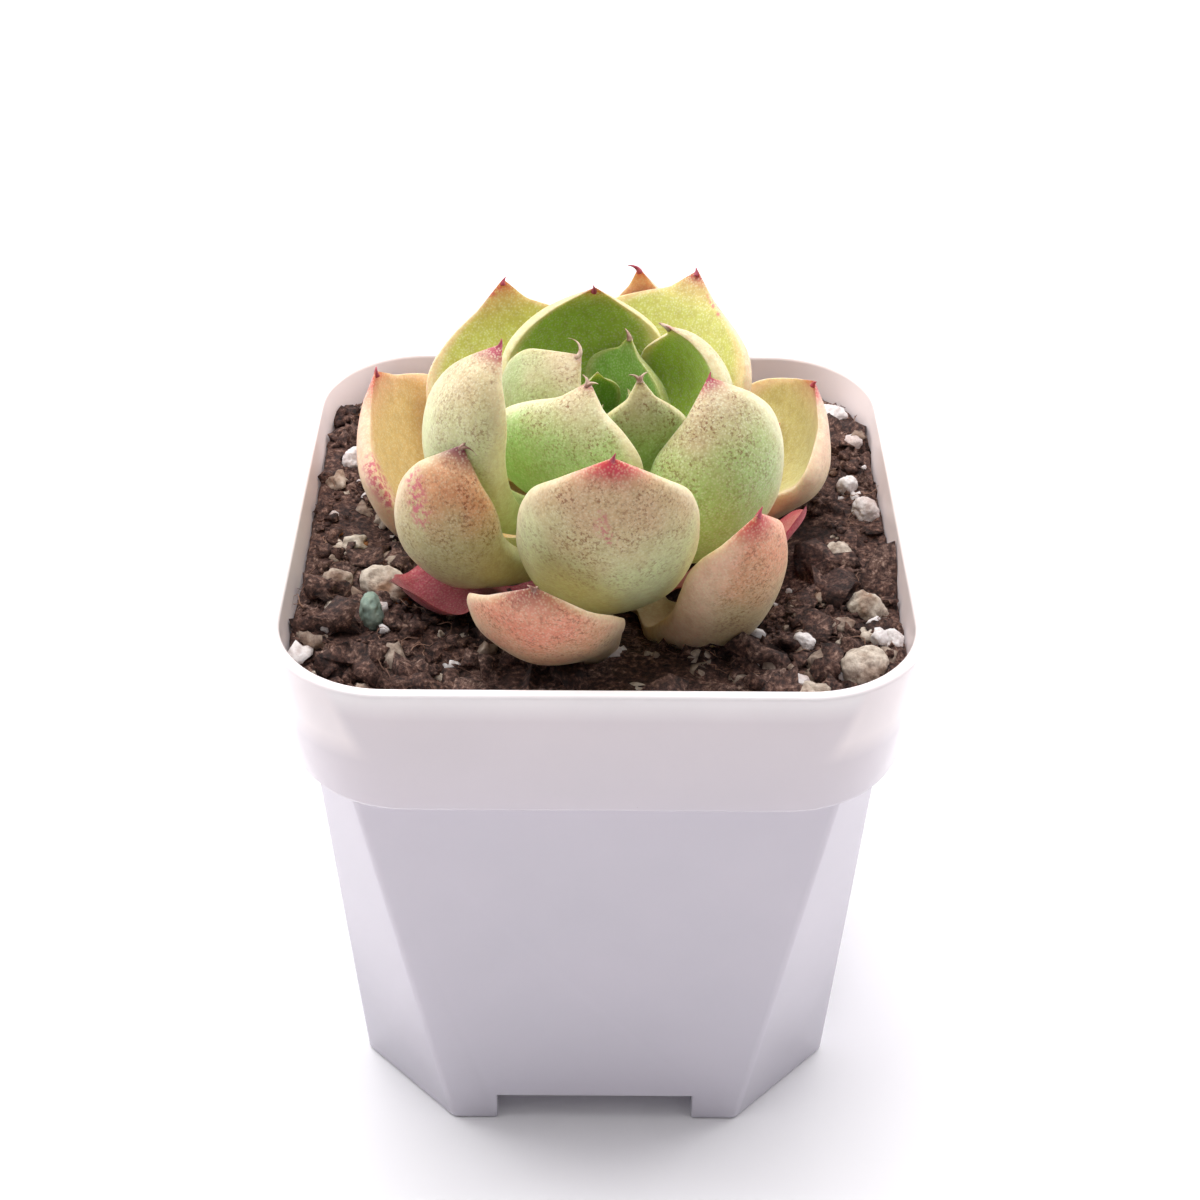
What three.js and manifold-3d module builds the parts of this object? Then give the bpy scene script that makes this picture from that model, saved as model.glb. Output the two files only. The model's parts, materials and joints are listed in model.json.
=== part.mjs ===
// A small rosette succulent in a square nursery pot, rooted in a gritty potting mix.
// Millimetres, +Z up, the pot's front towards -Y, the origin under the middle of the pot.
import * as THREE from 'three';
import { mergeVertices } from 'three/addons/utils/BufferGeometryUtils.js';
import Module from 'manifold-3d';

const wasm = await Module();
wasm.setup();

// Pot.
const POT_HEIGHT = 76.7;        // table to the top of the rim
const RIM_WIDTH = 75;           // outside of the rim at its top edge
const RIM_TAPER = 1.65;         // how far each side of the band draws in towards its lower edge
const RIM_HEIGHT = 18.3;        // height of the deeper band round the top
const RIM_WALL = 1.5;           // wall of the band
const RIM_CORNER = 8.4;         // leg of the band's corner, which its fillet rounds away
const SHOULDER = 3.2;           // step from the band in to the body on each side
const BODY_TAPER = 1.95;        // how far each side of the body draws in down to the table
const CHAMFER_TOP = 4.6;        // leg of the corner chamfer just under the band
const CHAMFER_BOTTOM = 12.2;    // leg of the corner chamfer on the table
const BODY_WALL = 1.2;          // wall of the body and of the floor
const NOTCH_WIDTH = 25.4;       // drain channel under the floor, open on all four sides
const NOTCH_HEIGHT = 4.5;
const DRAIN_HOLE = 5.5;         // width of the holes through the raised floor
const DRAIN_REACH = 17;         // from the middle hole to each of the other four

// Filling and plant.
const FIT = 0.3;                // gap between pieces that rest on each other
const SOIL_DROP = 4.6;          // rim top down to the potting mix
const SOIL_DISH = 8;            // how far the mix dips round the neck, under the leaves
const FRONT_DIP = 2.4;          // how far the mix has sunk in front of the foremost leaf
const STEM_RADIUS = 3.6;
const STEM_ROOT = 11;           // length of the neck below the surface
const STEM_RISE = 9.4;          // length of the stem above the surface
const PLANT_X = 1.2;            // the rosette sits a little off the middle
const PLANT_Y = 3.0;
const LEAF_GAP = 0.5;           // least gap between two leaves
const LEAF_REACH = 34.8;        // half the room between the walls that the leaf sizes are given for
const LEAF_CLEARANCE = 1.2;     // from the widest leaf to the pot's wall
const LEAF_POINT = 1.5;         // length of the small hard point on a leaf
const LEAF_PLUMPNESS = 1.0;     // share of each leaf's listed thickness

const RIM_INNER = RIM_WIDTH / 2 - RIM_WALL;
const SOIL_TOP = POT_HEIGHT - SOIL_DROP;
const PLANT_SCALE = (RIM_INNER - LEAF_CLEARANCE) / LEAF_REACH;

// ---------------------------------------------------------------- solids and meshes

const group = new THREE.Group();

function toSolid(geometry) {
  const bare = geometry.clone();
  bare.deleteAttribute('normal');
  bare.deleteAttribute('uv');
  const welded = mergeVertices(bare, 1e-4);
  const mesh = new wasm.Mesh({
    numProp: 3,
    vertProperties: Float32Array.from(welded.attributes.position.array),
    triVerts: Uint32Array.from(welded.index.array),
  });
  mesh.merge();
  return new wasm.Manifold(mesh);
}

function toGeometry(solid) {
  const mesh = solid.getMesh();
  const geometry = new THREE.BufferGeometry();
  geometry.setAttribute('position', new THREE.BufferAttribute(mesh.vertProperties, 3));
  geometry.setIndex(new THREE.BufferAttribute(mesh.triVerts, 1));
  return geometry;
}

function addPiece(name, geometry, material) {
  geometry.computeVertexNormals();
  const mesh = new THREE.Mesh(geometry, material);
  mesh.name = name;
  group.add(mesh);
}

function surface(color, roughness) {
  return new THREE.MeshStandardMaterial({ color, roughness, metalness: 0 });
}

// ---------------------------------------------------------------- pot

// A square outline whose corners are cut by a chamfer of the given leg. Both ends of each
// chamfer are rounded by the fillet, and a large fillet turns the chamfer into a full round.
function squareOutline(half, leg, fillet, steps = 3) {
  const points = [];
  const largest = leg / (2 - Math.SQRT2);
  const radius = Math.min(fillet, largest);
  const set = radius * Math.tan(Math.PI / 8);
  for (let k = 0; k < 8; k += 1) {
    const start = (Math.floor(k / 2) * Math.PI) / 2 + ((k % 2) * Math.PI) / 4;
    const local = k % 2 === 0
      ? new THREE.Vector2(half - radius, half - leg - set)
      : new THREE.Vector2(half - leg - set, half - radius);
    local.rotateAround(new THREE.Vector2(), (Math.floor(k / 2) * Math.PI) / 2);
    for (let i = 0; i <= steps; i += 1) {
      const angle = start + (i / steps) * (Math.PI / 4);
      points.push(new THREE.Vector2(
        local.x + radius * Math.cos(angle),
        local.y + radius * Math.sin(angle),
      ));
    }
  }
  return points;
}

// A closed body through a stack of outlines, each given as { z, points }.
function loft(rings) {
  const count = rings[0].points.length;
  const positions = [];
  const index = [];
  for (const ring of rings) {
    for (const point of ring.points) {
      positions.push(point.x, point.y, ring.height ? ring.height(point) : ring.z);
    }
  }
  for (let r = 0; r + 1 < rings.length; r += 1) {
    for (let i = 0; i < count; i += 1) {
      const a = r * count + i;
      const b = r * count + ((i + 1) % count);
      index.push(a, b, b + count, a, b + count, a + count);
    }
  }
  const caps = [[rings[0], 0, -1], [rings[rings.length - 1], (rings.length - 1) * count, 1]];
  for (const [ring, first, way] of caps) {
    const middle = positions.length / 3;
    positions.push(0, 0, ring.height ? ring.height(new THREE.Vector2()) : ring.z);
    for (let i = 0; i < count; i += 1) {
      const a = first + i;
      const b = first + ((i + 1) % count);
      index.push(middle, way > 0 ? a : b, way > 0 ? b : a);
    }
  }
  const geometry = new THREE.BufferGeometry();
  geometry.setAttribute('position', new THREE.Float32BufferAttribute(positions, 3));
  geometry.setIndex(index);
  return geometry;
}

const BAND_FOOT = POT_HEIGHT - RIM_HEIGHT;
const BODY_HALF = RIM_WIDTH / 2 - RIM_TAPER - SHOULDER;
const FLOOR_TOP = NOTCH_HEIGHT + BODY_WALL;

// Outline of the body at a height, moved in from its outer face by inset.
function bodyOutline(z, inset) {
  const t = THREE.MathUtils.clamp(1 - z / BAND_FOOT, 0, 1);
  const leg = CHAMFER_TOP + (CHAMFER_BOTTOM - CHAMFER_TOP) * t - inset * (2 - Math.SQRT2);
  return squareOutline(BODY_HALF - BODY_TAPER * t - inset, leg, 1.6);
}

// Outline of the rim band, moved in from its outer face by inset.
function bandOutline(z, inset) {
  const t = (POT_HEIGHT - z) / RIM_HEIGHT;
  const leg = RIM_CORNER - inset * (2 - Math.SQRT2);
  return squareOutline(RIM_WIDTH / 2 - RIM_TAPER * t - inset, leg, 40);
}

function channels(width, height, length) {
  const across = new THREE.BoxGeometry(length, width, height).translate(0, 0, height / 2);
  const along = new THREE.BoxGeometry(width, length, height).translate(0, 0, height / 2);
  return toSolid(across).add(toSolid(along));
}

// The room inside the pot, drawn in by a clearance on every side.
function potRoom(clearance) {
  const wall = BODY_WALL + clearance;
  const ledge = BAND_FOOT + BODY_WALL + clearance;
  const room = toSolid(loft([
    { z: wall, points: bodyOutline(wall, wall) },
    { z: ledge - 1, points: bodyOutline(ledge - 1, wall) },
    { z: ledge, points: bandOutline(ledge, RIM_WALL + clearance) },
    { z: POT_HEIGHT + 2, points: bandOutline(POT_HEIGHT, RIM_WALL + clearance) },
  ]));
  return room.subtract(channels(NOTCH_WIDTH + 2 * wall, NOTCH_HEIGHT + wall, RIM_WIDTH));
}

function makePot() {
  const shell = toSolid(loft([
    { z: 0, points: bodyOutline(0, 0.5) },
    { z: 0.5, points: bodyOutline(0.5, 0) },
    { z: BAND_FOOT, points: bodyOutline(BAND_FOOT, 0) },
    { z: BAND_FOOT, points: bandOutline(BAND_FOOT, 0.7) },
    { z: BAND_FOOT + 0.7, points: bandOutline(BAND_FOOT + 0.7, 0) },
    { z: POT_HEIGHT - 0.7, points: bandOutline(POT_HEIGHT - 0.7, 0) },
    { z: POT_HEIGHT - 0.2, points: bandOutline(POT_HEIGHT - 0.2, 0.2) },
    { z: POT_HEIGHT, points: bandOutline(POT_HEIGHT, 0.65) },
  ]));
  let pot = shell.subtract(potRoom(0));
  pot = pot.subtract(channels(NOTCH_WIDTH, NOTCH_HEIGHT, RIM_WIDTH));
  for (const [x, y] of [[0, 0], [1, 0], [0, 1], [-1, 0], [0, -1]]) {
    const hole = new THREE.CylinderGeometry(DRAIN_HOLE / 2, DRAIN_HOLE / 2, 4, 16);
    hole.rotateX(Math.PI / 2).translate(x * DRAIN_REACH, y * DRAIN_REACH, FLOOR_TOP);
    pot = pot.subtract(toSolid(hole));
  }
  return pot;
}

// ---------------------------------------------------------------- leaves

// Each leaf springs from the stem at a height above the mix, leaves it in a direction
// (degrees from +X), and bends from its first slope to its last, evenly where late is 1 and
// more towards its tip above that. Roll twists it, drift carries its tip sideways, cup is the
// half angle that its section wraps through, and blunt runs from a pointed outline, 0, to 1,
// which keeps its full width almost to the point.
// The list runs from the lowest, oldest leaf to the smallest in the heart.
const LEAVES = [
  // name, colour, towards, length, width, thick, height, slope0, slope1, cup, roll, drift, late,
  // blunt, from
  ['withered_left', '#8e3444', 220, 30, 17, 1.2, -3.6, -10, 44, 34, 0, 0, 1, 0.3, 4.1],
  ['withered_right', '#b06a62', 330, 29, 16, 1.2, -4.4, -10, 76, 34, 0, 0, 1, 0.5, 4.1],
  ['withered_back', '#c98a5a', 40, 27, 11, 1.2, -4.6, -14, 46, 30, 0, 0, 1, 0.3, 4.1],
  ['leaf_back_low_right', '#d2a184', 30, 22, 15, 3, -1.2, -4, 38, 28, 3, 0, 1, 0.4, 4.1],
  ['leaf_back_low_left', '#cda68a', 143, 22, 15, 3, -1.2, -4, 40, 22, -7, 0, 1, 0.4, 4.1],
  ['leaf_back_low', '#c9ab8c', 92, 27, 15, 3.4, -1.6, -4, 44, 27, 0, 0, 1, 0.4, 4.1],
  ['leaf_front_low_left', '#c9a08a', 254, 43, 25.5, 4, -1.4, -12, 89, 59, 1, 0.06, 1.6, 1, 4.1],
  ['leaf_front_low_right', '#c9a187', 302, 42.5, 18, 5.2, -3.6, -12, 89, 68, 7, -0.04, 1, 1, 4.1],
  ['leaf_front', '#cdbfa6', 269, 44.5, 22, 4.8, -0.2, 1, 90, 54, 1, 0.02, 1, 1, 4.1],
  ['leaf_front_left', '#c9b398', 224, 40, 15, 4.6, 1.2, -17, 125, 56, 26, 0.06, 1.3, 0.9, 4.1],
  ['leaf_left', '#cfb397', 159, 35, 29, 6, -1, -18, 87, 23, 8, 0.07, 1.1, 0.3, 4.1],
  ['leaf_right', '#cdbb98', 22, 32, 29, 5.8, -1, -14, 94, 42, -11, -0.04, 1.3, 0.7, 4.1],
  ['leaf_back', '#c08f78', 72, 32, 14, 4, 1.6, -5, 103, 24, 7, 0.1, 1, 0, 4.1],
  ['leaf_back_left', '#b5ac7c', 129, 31.5, 24.5, 4.2, 2, -2, 84, 8, -17, -0.13, 1.1, 0, 4.1],
  ['leaf_back_right', '#a9a873', 55, 27, 26, 4.6, 3.6, 29, 65, 37, -6, 0.09, 1, 0, 4.1],
  ['leaf_right_upper', '#bcbf99', 309, 34, 18, 5, 2.4, -10, 138, 64, -23, 0.09, 1, 0.6, 4.1],
  ['leaf_left_upper', '#c3c6a6', 212, 37.5, 15.5, 5.2, 7.4, -18, 129, 39, -3, 0.15, 0.9, 0.7, 4.1],
  ['leaf_back_inner', '#8ba661', 115, 24, 22, 4.2, 5.6, 26, 120, 45, -13, -0.11, 1, 0.3, 4.1],
  ['leaf_front_inner', '#b4bfa0', 241, 23, 21, 3.8, 6.6, 18, 118, 7, -8, 0.15, 1, 0.1, 3.9],
  ['leaf_right_inner', '#96a277', 22, 22, 17, 3.6, 7.6, 15, 137, 39, 20, 0, 1, 0, 3.9],
  ['leaf_heart_left', '#8e9a80', 201, 20.5, 14.5, 3.4, 8.2, 25, 147, 15, 25, 0.1, 1.1, 0.7, 3.4],
  ['leaf_heart_back', '#6f9352', 54, 13.5, 14, 3, 8, 66, 80, 22, -16, 0.17, 1, 0, 3.2],
  ['leaf_heart_front', '#8d9c7c', 287, 20, 12.5, 2.6, 9.2, 20, 112, 21, -8, 0.02, 1.1, 0, 3],
  ['leaf_bud_left', '#7f9a68', 232, 9, 7, 1.9, 9.9, 64, 108, 32, 0, 0, 1, 0.4, 2.4],
  ['leaf_bud_back', '#7d985f', 122, 9.5, 7, 1.9, 9.9, 66, 108, 32, 0, 0, 1, 0.4, 2.4],
  ['leaf_bud_right', '#7f9a62', 0, 8.5, 6.5, 1.8, 9.9, 68, 108, 32, 0, 0, 1, 0.4, 2.2],
  ['leaf_bud_inner_left', '#7a9a5a', 180, 6.5, 4.4, 1.4, 9.9, 78, 104, 30, 0, 0, 1, 0.4, 0.9],
  ['leaf_bud_inner_right', '#7a9a5a', 320, 6, 4.2, 1.4, 9.9, 80, 102, 30, 0, 0, 1, 0.4, 0.9],
];

const ROUND = 12;
const STATIONS = [0, 0.14, 0.28, 0.42, 0.56, 0.68, 0.79, 0.88, 0.945];

// Share of the full width and of the full thickness at a station from base (0) to tip (1).
function widthShare(s, blunt) {
  const base = 0.2;
  const rise = base + (1 - base) * Math.sin((Math.PI / 2) * Math.min(1, s / 0.6)) ** 1.35;
  const t = THREE.MathUtils.clamp((s - 0.6) / 0.4, 0, 1);
  return rise * (1 - t ** (2.6 + 1.4 * blunt)) ** (1.2 - 0.45 * blunt);
}

function thicknessShare(s) {
  const rise = 0.4 + 0.6 * Math.sin((Math.PI / 2) * Math.min(1, 2 * s));
  const t = THREE.MathUtils.clamp((s - 0.5) / 0.5, 0, 1);
  return rise * (1 - 0.85 * t * t);
}

// The cross-sections of a leaf from base to tip, each with its place, its own axes
// (along the leaf, across it, and towards its upper face) and its size.
function leafSections([name, color, towards, length, width, thick, height, slope0, slope1, cup,
  roll, drift, late, blunt, from]) {
  const turn = THREE.MathUtils.degToRad(towards);
  const outward = new THREE.Vector3(Math.cos(turn), Math.sin(turn), 0);
  const sideways = new THREE.Vector3(-Math.sin(turn), Math.cos(turn), 0);
  const size = PLANT_SCALE;
  const sections = [];
  const steps = 60;
  let reach = from;
  let rise = SOIL_TOP + height;
  let step = 0;
  for (const s of [...STATIONS, 1]) {
    while (step < s * steps - 1e-6) {
      const slope = slope0 + (slope1 - slope0) * ((step + 0.5) / steps) ** late;
      reach += (Math.cos(THREE.MathUtils.degToRad(slope)) * length * size) / steps;
      rise += (Math.sin(THREE.MathUtils.degToRad(slope)) * length * size) / steps;
      step += 1;
    }
    const slope = THREE.MathUtils.degToRad(slope0 + (slope1 - slope0) * s ** late);
    const along = outward.clone().multiplyScalar(Math.cos(slope));
    along.z += Math.sin(slope);
    const up = outward.clone().multiplyScalar(-Math.sin(slope));
    up.z += Math.cos(slope);
    const twist = THREE.MathUtils.degToRad(roll) * s;
    const across = sideways.clone().applyAxisAngle(along, twist);
    up.applyAxisAngle(along, twist);
    const place = new THREE.Vector3(PLANT_X, PLANT_Y, rise)
      .addScaledVector(outward, reach)
      .addScaledVector(sideways, drift * length * size * s * s);
    sections.push({
      place,
      along,
      across,
      up,
      half: (width / 2) * size * widthShare(s, blunt),
      thick: thick * LEAF_PLUMPNESS * size * thicknessShare(s),
      wrap: THREE.MathUtils.degToRad(cup) * Math.min(1, s / 0.35) * widthShare(s, blunt),
    });
  }
  return { name, color, sections };
}

// A point of a section: across from -1 to 1 of its half width, and above or below its sheet.
function sectionPoint(section, across, above) {
  const wrap = Math.max(section.wrap, 1e-3);
  const radius = section.half / wrap;
  const angle = wrap * across;
  const x = radius * Math.sin(angle) - Math.sin(angle) * above;
  const y = radius * (1 - Math.cos(angle)) + Math.cos(angle) * above;
  return section.place.clone()
    .addScaledVector(section.across, x)
    .addScaledVector(section.up, y);
}

const rounded = (value) => Math.sign(value) * Math.abs(value) ** 0.9;

// The skin of a leaf: a ball drawn out through the sections, flatter on its upper face,
// ending in a small point. Swell grows it evenly, for the sockets that leaves press.
function leafGeometry({ sections }, swell = 0) {
  const ball = new THREE.SphereGeometry(1, ROUND, STATIONS.length + 1);
  ball.deleteAttribute('normal');
  ball.deleteAttribute('uv');
  const skin = mergeVertices(ball, 1e-5);
  const position = skin.attributes.position;
  const last = sections[sections.length - 1];
  for (let i = 0; i < position.count; i += 1) {
    const point = new THREE.Vector3().fromBufferAttribute(position, i);
    const row = Math.round((Math.acos(THREE.MathUtils.clamp(-point.y, -1, 1)) / Math.PI)
      * (STATIONS.length + 1));
    let made;
    if (row === 0) {
      made = sections[0].place.clone().addScaledVector(sections[0].along, -0.3 - swell);
    } else if (row === STATIONS.length + 1) {
      made = last.place.clone().addScaledVector(last.along, last.point + swell);
    } else {
      const section = sections[row - 1];
      const angle = Math.atan2(-point.z, point.x);
      const growth = (section.half + swell) / section.half;
      const grown = { ...section, half: section.half * growth, wrap: section.wrap * growth };
      const above = rounded(Math.sin(angle));
      const depth = above > 0 ? 0.18 * section.thick : 0.82 * section.thick;
      made = sectionPoint(grown, rounded(Math.cos(angle)), above * (depth + swell));
    }
    position.setXYZ(i, made.x, made.y, made.z);
  }
  return skin;
}

// Balls that fill a leaf, three rows of them between one section and the next.
function leafBalls({ sections }) {
  const balls = [];
  const columns = [-0.9, -0.72, -0.5, -0.25, 0, 0.25, 0.5, 0.72, 0.9];
  for (let row = 0; row + 1 < sections.length; row += 1) {
    for (const across of columns) {
      const flat = Math.sqrt(1 - across * across);
      const near = sectionPoint(sections[row], across, -0.32 * sections[row].thick * flat);
      const far = sectionPoint(sections[row + 1], across, -0.32 * sections[row + 1].thick * flat);
      for (const share of [0, 1 / 3, 2 / 3]) {
        balls.push({
          row,
          share,
          place: near.clone().lerp(far, share),
          radius: 0.5 * flat * THREE.MathUtils.lerp(
            sections[row].thick,
            sections[row + 1].thick,
            share,
          ),
        });
      }
    }
  }
  return balls;
}

// Leaves that crowd each other give way. Where two press together, both bend aside, and
// they grow a little narrower and thinner there, until the gap between them is open.
function easeApart(leaves, passes) {
  for (let pass = 0; pass < passes; pass += 1) {
    const filled = leaves.map(leafBalls);
    const boxes = filled.map((balls) => new THREE.Box3().setFromPoints(
      balls.map((ball) => ball.place),
    ).expandByScalar(3));
    const pushes = leaves.map(({ sections }) => sections.map(() => ({ up: 0, in: 0, deep: 0 })));
    for (let a = 0; a < leaves.length; a += 1) {
      for (let b = a + 1; b < leaves.length; b += 1) {
        if (boxes[a].intersectsBox(boxes[b])) {
          pressPair(leaves, filled, pushes, a, b);
        }
      }
    }
    leaves.forEach(({ sections, stiff }, i) => {
      if (!stiff) {
        yieldSections(sections, pushes[i]);
      }
    });
  }
}

function pressPair(leaves, filled, pushes, a, b) {
  const gap = new THREE.Vector3();
  for (const one of filled[a]) {
    for (const two of filled[b]) {
      gap.subVectors(two.place, one.place);
      const reach = one.radius + two.radius + LEAF_GAP;
      if (gap.lengthSq() < reach * reach) {
        const depth = reach - gap.length();
        gap.normalize();
        press(leaves[a].sections, pushes[a], one, gap, depth);
        press(leaves[b].sections, pushes[b], two, gap.negate(), depth);
      }
    }
  }
}

function press(sections, pushes, ball, way, depth) {
  for (const [row, share] of [[ball.row, 1 - ball.share], [ball.row + 1, ball.share]]) {
    const upward = -way.dot(sections[row].up) * depth * share;
    const inward = Math.abs(way.dot(sections[row].across)) * depth * share;
    const push = pushes[row];
    push.up = Math.abs(upward) > Math.abs(push.up) ? upward : push.up;
    push.in = Math.max(push.in, inward);
    push.deep = Math.max(push.deep, depth * share);
  }
}

function yieldSections(sections, pushes) {
  const lifts = pushes.map((push) => push.up);
  sections.forEach((section, row) => {
    const before = lifts[Math.max(0, row - 1)];
    const after = lifts[Math.min(lifts.length - 1, row + 1)];
    const lift = 0.2 * lifts[row] + 0.08 * (before + after);
    section.place.addScaledVector(section.up, lift);
    section.half *= 1 - Math.min(0.04, (0.12 * pushes[row].in) / (section.half + 0.5));
    section.thick *= 1 - Math.min(0.03, (0.05 * pushes[row].deep) / (section.thick + 0.2));
  });
}

function growLeaves() {
  const leaves = LEAVES.map(leafSections);
  for (const leaf of leaves) {
    const { sections } = leaf;
    sections[sections.length - 1].point = LEAF_POINT * Math.min(1, sections[4].half / 5);
  }
  easeApart(leaves, 45);
  thinUntilClear(leaves, 20);
  return leaves;
}

// Leaves that still touch after that both shrink a little about their sheets.
function thinUntilClear(leaves, rounds) {
  let touching = leaves.length;
  for (let round = 0; round < rounds && touching > 0; round += 1) {
    const solids = leaves.map((leaf) => toSolid(leafGeometry(leaf)));
    const close = new Set();
    for (let a = 0; a < leaves.length; a += 1) {
      for (let b = a + 1; b < leaves.length; b += 1) {
        const met = solids[a].intersect(solids[b]).volume() > 0;
        if (met || solids[a].minGap(solids[b], FIT) < FIT / 2) {
          close.add(leaves[a]);
          close.add(leaves[b]);
        }
      }
    }
    touching = close.size;
    for (const leaf of close) {
      for (const section of leaf.sections) {
        section.half *= 0.985;
        section.thick *= 0.95;
      }
    }
  }
}

// ---------------------------------------------------------------- stem, mix and stones

// The neck and stem that every leaf springs from, drawn out by a clearance.
function makeStem(clearance) {
  const radius = STEM_RADIUS + clearance;
  const profile = [
    [0, -STEM_ROOT - clearance],
    [radius * 0.6, -STEM_ROOT - clearance],
    [radius, -STEM_ROOT + 4],
    [radius, STEM_RISE - 4],
    [radius * 0.8, STEM_RISE - 1.6],
    [radius * 0.4, STEM_RISE - 0.3],
    [0, STEM_RISE],
  ].map(([x, y]) => new THREE.Vector2(x, y));
  const stem = new THREE.LatheGeometry(profile, 16).rotateX(Math.PI / 2);
  return stem.translate(PLANT_X, PLANT_Y, SOIL_TOP);
}

// Height of the mix: level by the rim, dipping round the neck and in front of the foremost
// leaf, with low lumps all over.
function soilHeight(x, y) {
  const away = Math.hypot(x - PLANT_X, y - PLANT_Y) / (0.64 * RIM_INNER);
  const lumps = 0.35 * Math.sin(0.61 * x + 1.3) * Math.cos(0.53 * y - 0.4)
    + 0.25 * Math.sin(0.9 * x - 0.7 * y + 2.1);
  const front = Math.hypot(x / 20 + 0.3, (y + RIM_INNER - 6) / 8);
  return SOIL_TOP + lumps - SOIL_DISH * Math.exp(-(away ** 4)) - FRONT_DIP * Math.exp(-(front ** 4));
}

// Stones lying on the mix: name, colour, x and y as shares of the pot's inner half width,
// half sizes along, across and up, how far the middle stands over the mix, and a turn.
const STONES = [
  ['zeolite', '#74877c', -0.73, -0.49, 1.5, 2.1, 2.3, 0.9, 20],
  ['tan', '#b5a898', -0.70, -0.30, 3.6, 2.5, 2.2, 0.7, -35],
  ['perlite_back_left', '#eceae6', -0.72, 0.82, 3.0, 2.6, 2.6, 1.6, 10],
  ['brown_left', '#8b7a6c', -0.86, -0.32, 1.9, 1.6, 1.5, 0.4, 40],
  ['pumice_left', '#b9aea6', -0.84, -0.43, 1.2, 1.1, 1.1, 0.4, 0],
  ['perlite_low_left', '#ece6e2', -0.86, -0.54, 1.5, 0.9, 0.9, 0.5, 25],
  ['grit_low_left', '#9a8878', -0.80, -0.69, 1.7, 1.4, 1.3, 0.3, 60],
  ['perlite_left', '#f0eeea', -0.88, 0.46, 1.4, 1.9, 1.5, 0.5, 0],
  ['pumice_front_left', '#c9beb4', -0.50, -0.74, 1.4, 0.9, 0.8, 0.4, -30],
  ['perlite_right', '#e9e6e1', 0.88, 0.30, 1.4, 1.3, 1.3, 0.6, 15],
  ['perlite_right_edge', '#f1efeb', 0.93, 0.14, 1.6, 1.9, 1.7, 0.6, 60],
  ['pumice_small', '#d9cfbf', 0.82, -0.09, 1.5, 1.9, 1.5, 0.5, 20],
  ['pumice_big', '#e2d8ca', 0.88, -0.43, 2.5, 1.8, 1.7, 0.9, -25],
  ['grit_right', '#948a84', 0.79, -0.52, 1.4, 1.1, 1.0, 0.3, 30],
  ['perlite_round', '#f3f1ee', 0.94, -0.60, 1.4, 1.3, 1.3, 0.7, 0],
  ['perlite_white', '#efecea', 0.66, -0.62, 1.4, 1.0, 1.0, 0.5, -10],
  ['pumice_cream', '#dccfba', 0.84, -0.74, 2.9, 2.2, 2.1, 0.7, 10],
  ['brown_right', '#96826f', 0.71, -0.70, 1.7, 1.4, 1.7, 0.4, 50],
  ['perlite_front', '#ebe8e3', 0.60, -0.82, 2.3, 1.3, 1.5, 0.5, 5],
  ['perlite_back_right', '#ece9e4', 0.86, 0.76, 2.0, 1.7, 1.6, 0.8, -30],
  ['perlite_back_edge', '#e8e2dc', 0.92, 0.58, 1.6, 1.4, 1.3, 0.6, 20],
];

// An uneven pebble, drawn out by a clearance.
function makeStone([name, color, x, y, along, across, tall, lift, turn], clearance) {
  const ball = new THREE.IcosahedronGeometry(1, 1);
  ball.deleteAttribute('normal');
  ball.deleteAttribute('uv');
  const stone = mergeVertices(ball, 1e-4);
  const position = stone.attributes.position;
  for (let i = 0; i < position.count; i += 1) {
    const point = new THREE.Vector3().fromBufferAttribute(position, i);
    const lump = 1 + 0.1 * Math.sin(3.1 * point.x + turn) * Math.cos(2.7 * point.y + x * 9)
      + 0.07 * Math.sin(4.3 * point.z + y * 7 + turn);
    point.multiply(new THREE.Vector3(along, across, tall).addScalar(clearance * 1.2));
    point.multiplyScalar(lump);
    position.setXYZ(i, point.x, point.y, point.z);
  }
  stone.rotateZ(THREE.MathUtils.degToRad(turn));
  const [px, py] = [x * RIM_INNER, y * RIM_INNER];
  return stone.translate(px, py, soilHeight(px, py) + lift);
}

// The mix fills the pot, and keeps a socket under each stone, each low leaf and the neck.
function makeSoil(leaves) {
  const rings = [{ z: -1, points: bandOutline(POT_HEIGHT, -2) }];
  for (const share of [1, 0.86, 0.72, 0.56, 0.4, 0.2]) {
    rings.push({
      points: bandOutline(POT_HEIGHT, -2).map((point) => point.multiplyScalar(share)),
      height: (point) => soilHeight(point.x, point.y),
    });
  }
  let soil = potRoom(FIT).intersect(toSolid(loft(rings)));
  soil = soil.subtract(toSolid(makeStem(FIT)));
  for (const stone of STONES) {
    soil = soil.subtract(toSolid(makeStone(stone, FIT)));
  }
  for (const leaf of leaves) {
    soil = soil.subtract(toSolid(leafGeometry(leaf, FIT + LEAF_GAP / 2)));
  }
  return largestBody(soil);
}

function largestBody(solid) {
  const bodies = solid.decompose();
  return bodies.reduce((most, body) => (body.volume() > most.volume() ? body : most));
}

// The stem with a hollow for the foot of each leaf.
function makeScarredStem(leaves) {
  let stem = toSolid(makeStem(0));
  for (const leaf of leaves) {
    stem = stem.subtract(toSolid(leafGeometry(leaf, FIT)));
  }
  return largestBody(stem);
}

// ---------------------------------------------------------------- assembly

const leaves = growLeaves();
addPiece('pot', toGeometry(makePot()), surface('#f2eff4', 0.25));
addPiece('soil', toGeometry(makeSoil(leaves)), surface('#3b2d26', 0.95));
addPiece('stem', toGeometry(makeScarredStem(leaves)), surface('#8a7a55', 0.7));
for (const leaf of leaves) {
  addPiece(leaf.name, leafGeometry(leaf), surface(leaf.color, 0.42));
}
for (const stone of STONES) {
  addPiece(`stone_${stone[0]}`, makeStone(stone, 0), surface(stone[1], 0.9));
}

export default group;
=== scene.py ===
import json
import math
import random
import bmesh
import bpy
import numpy as np
from mathutils import Matrix, Vector, noise


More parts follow.
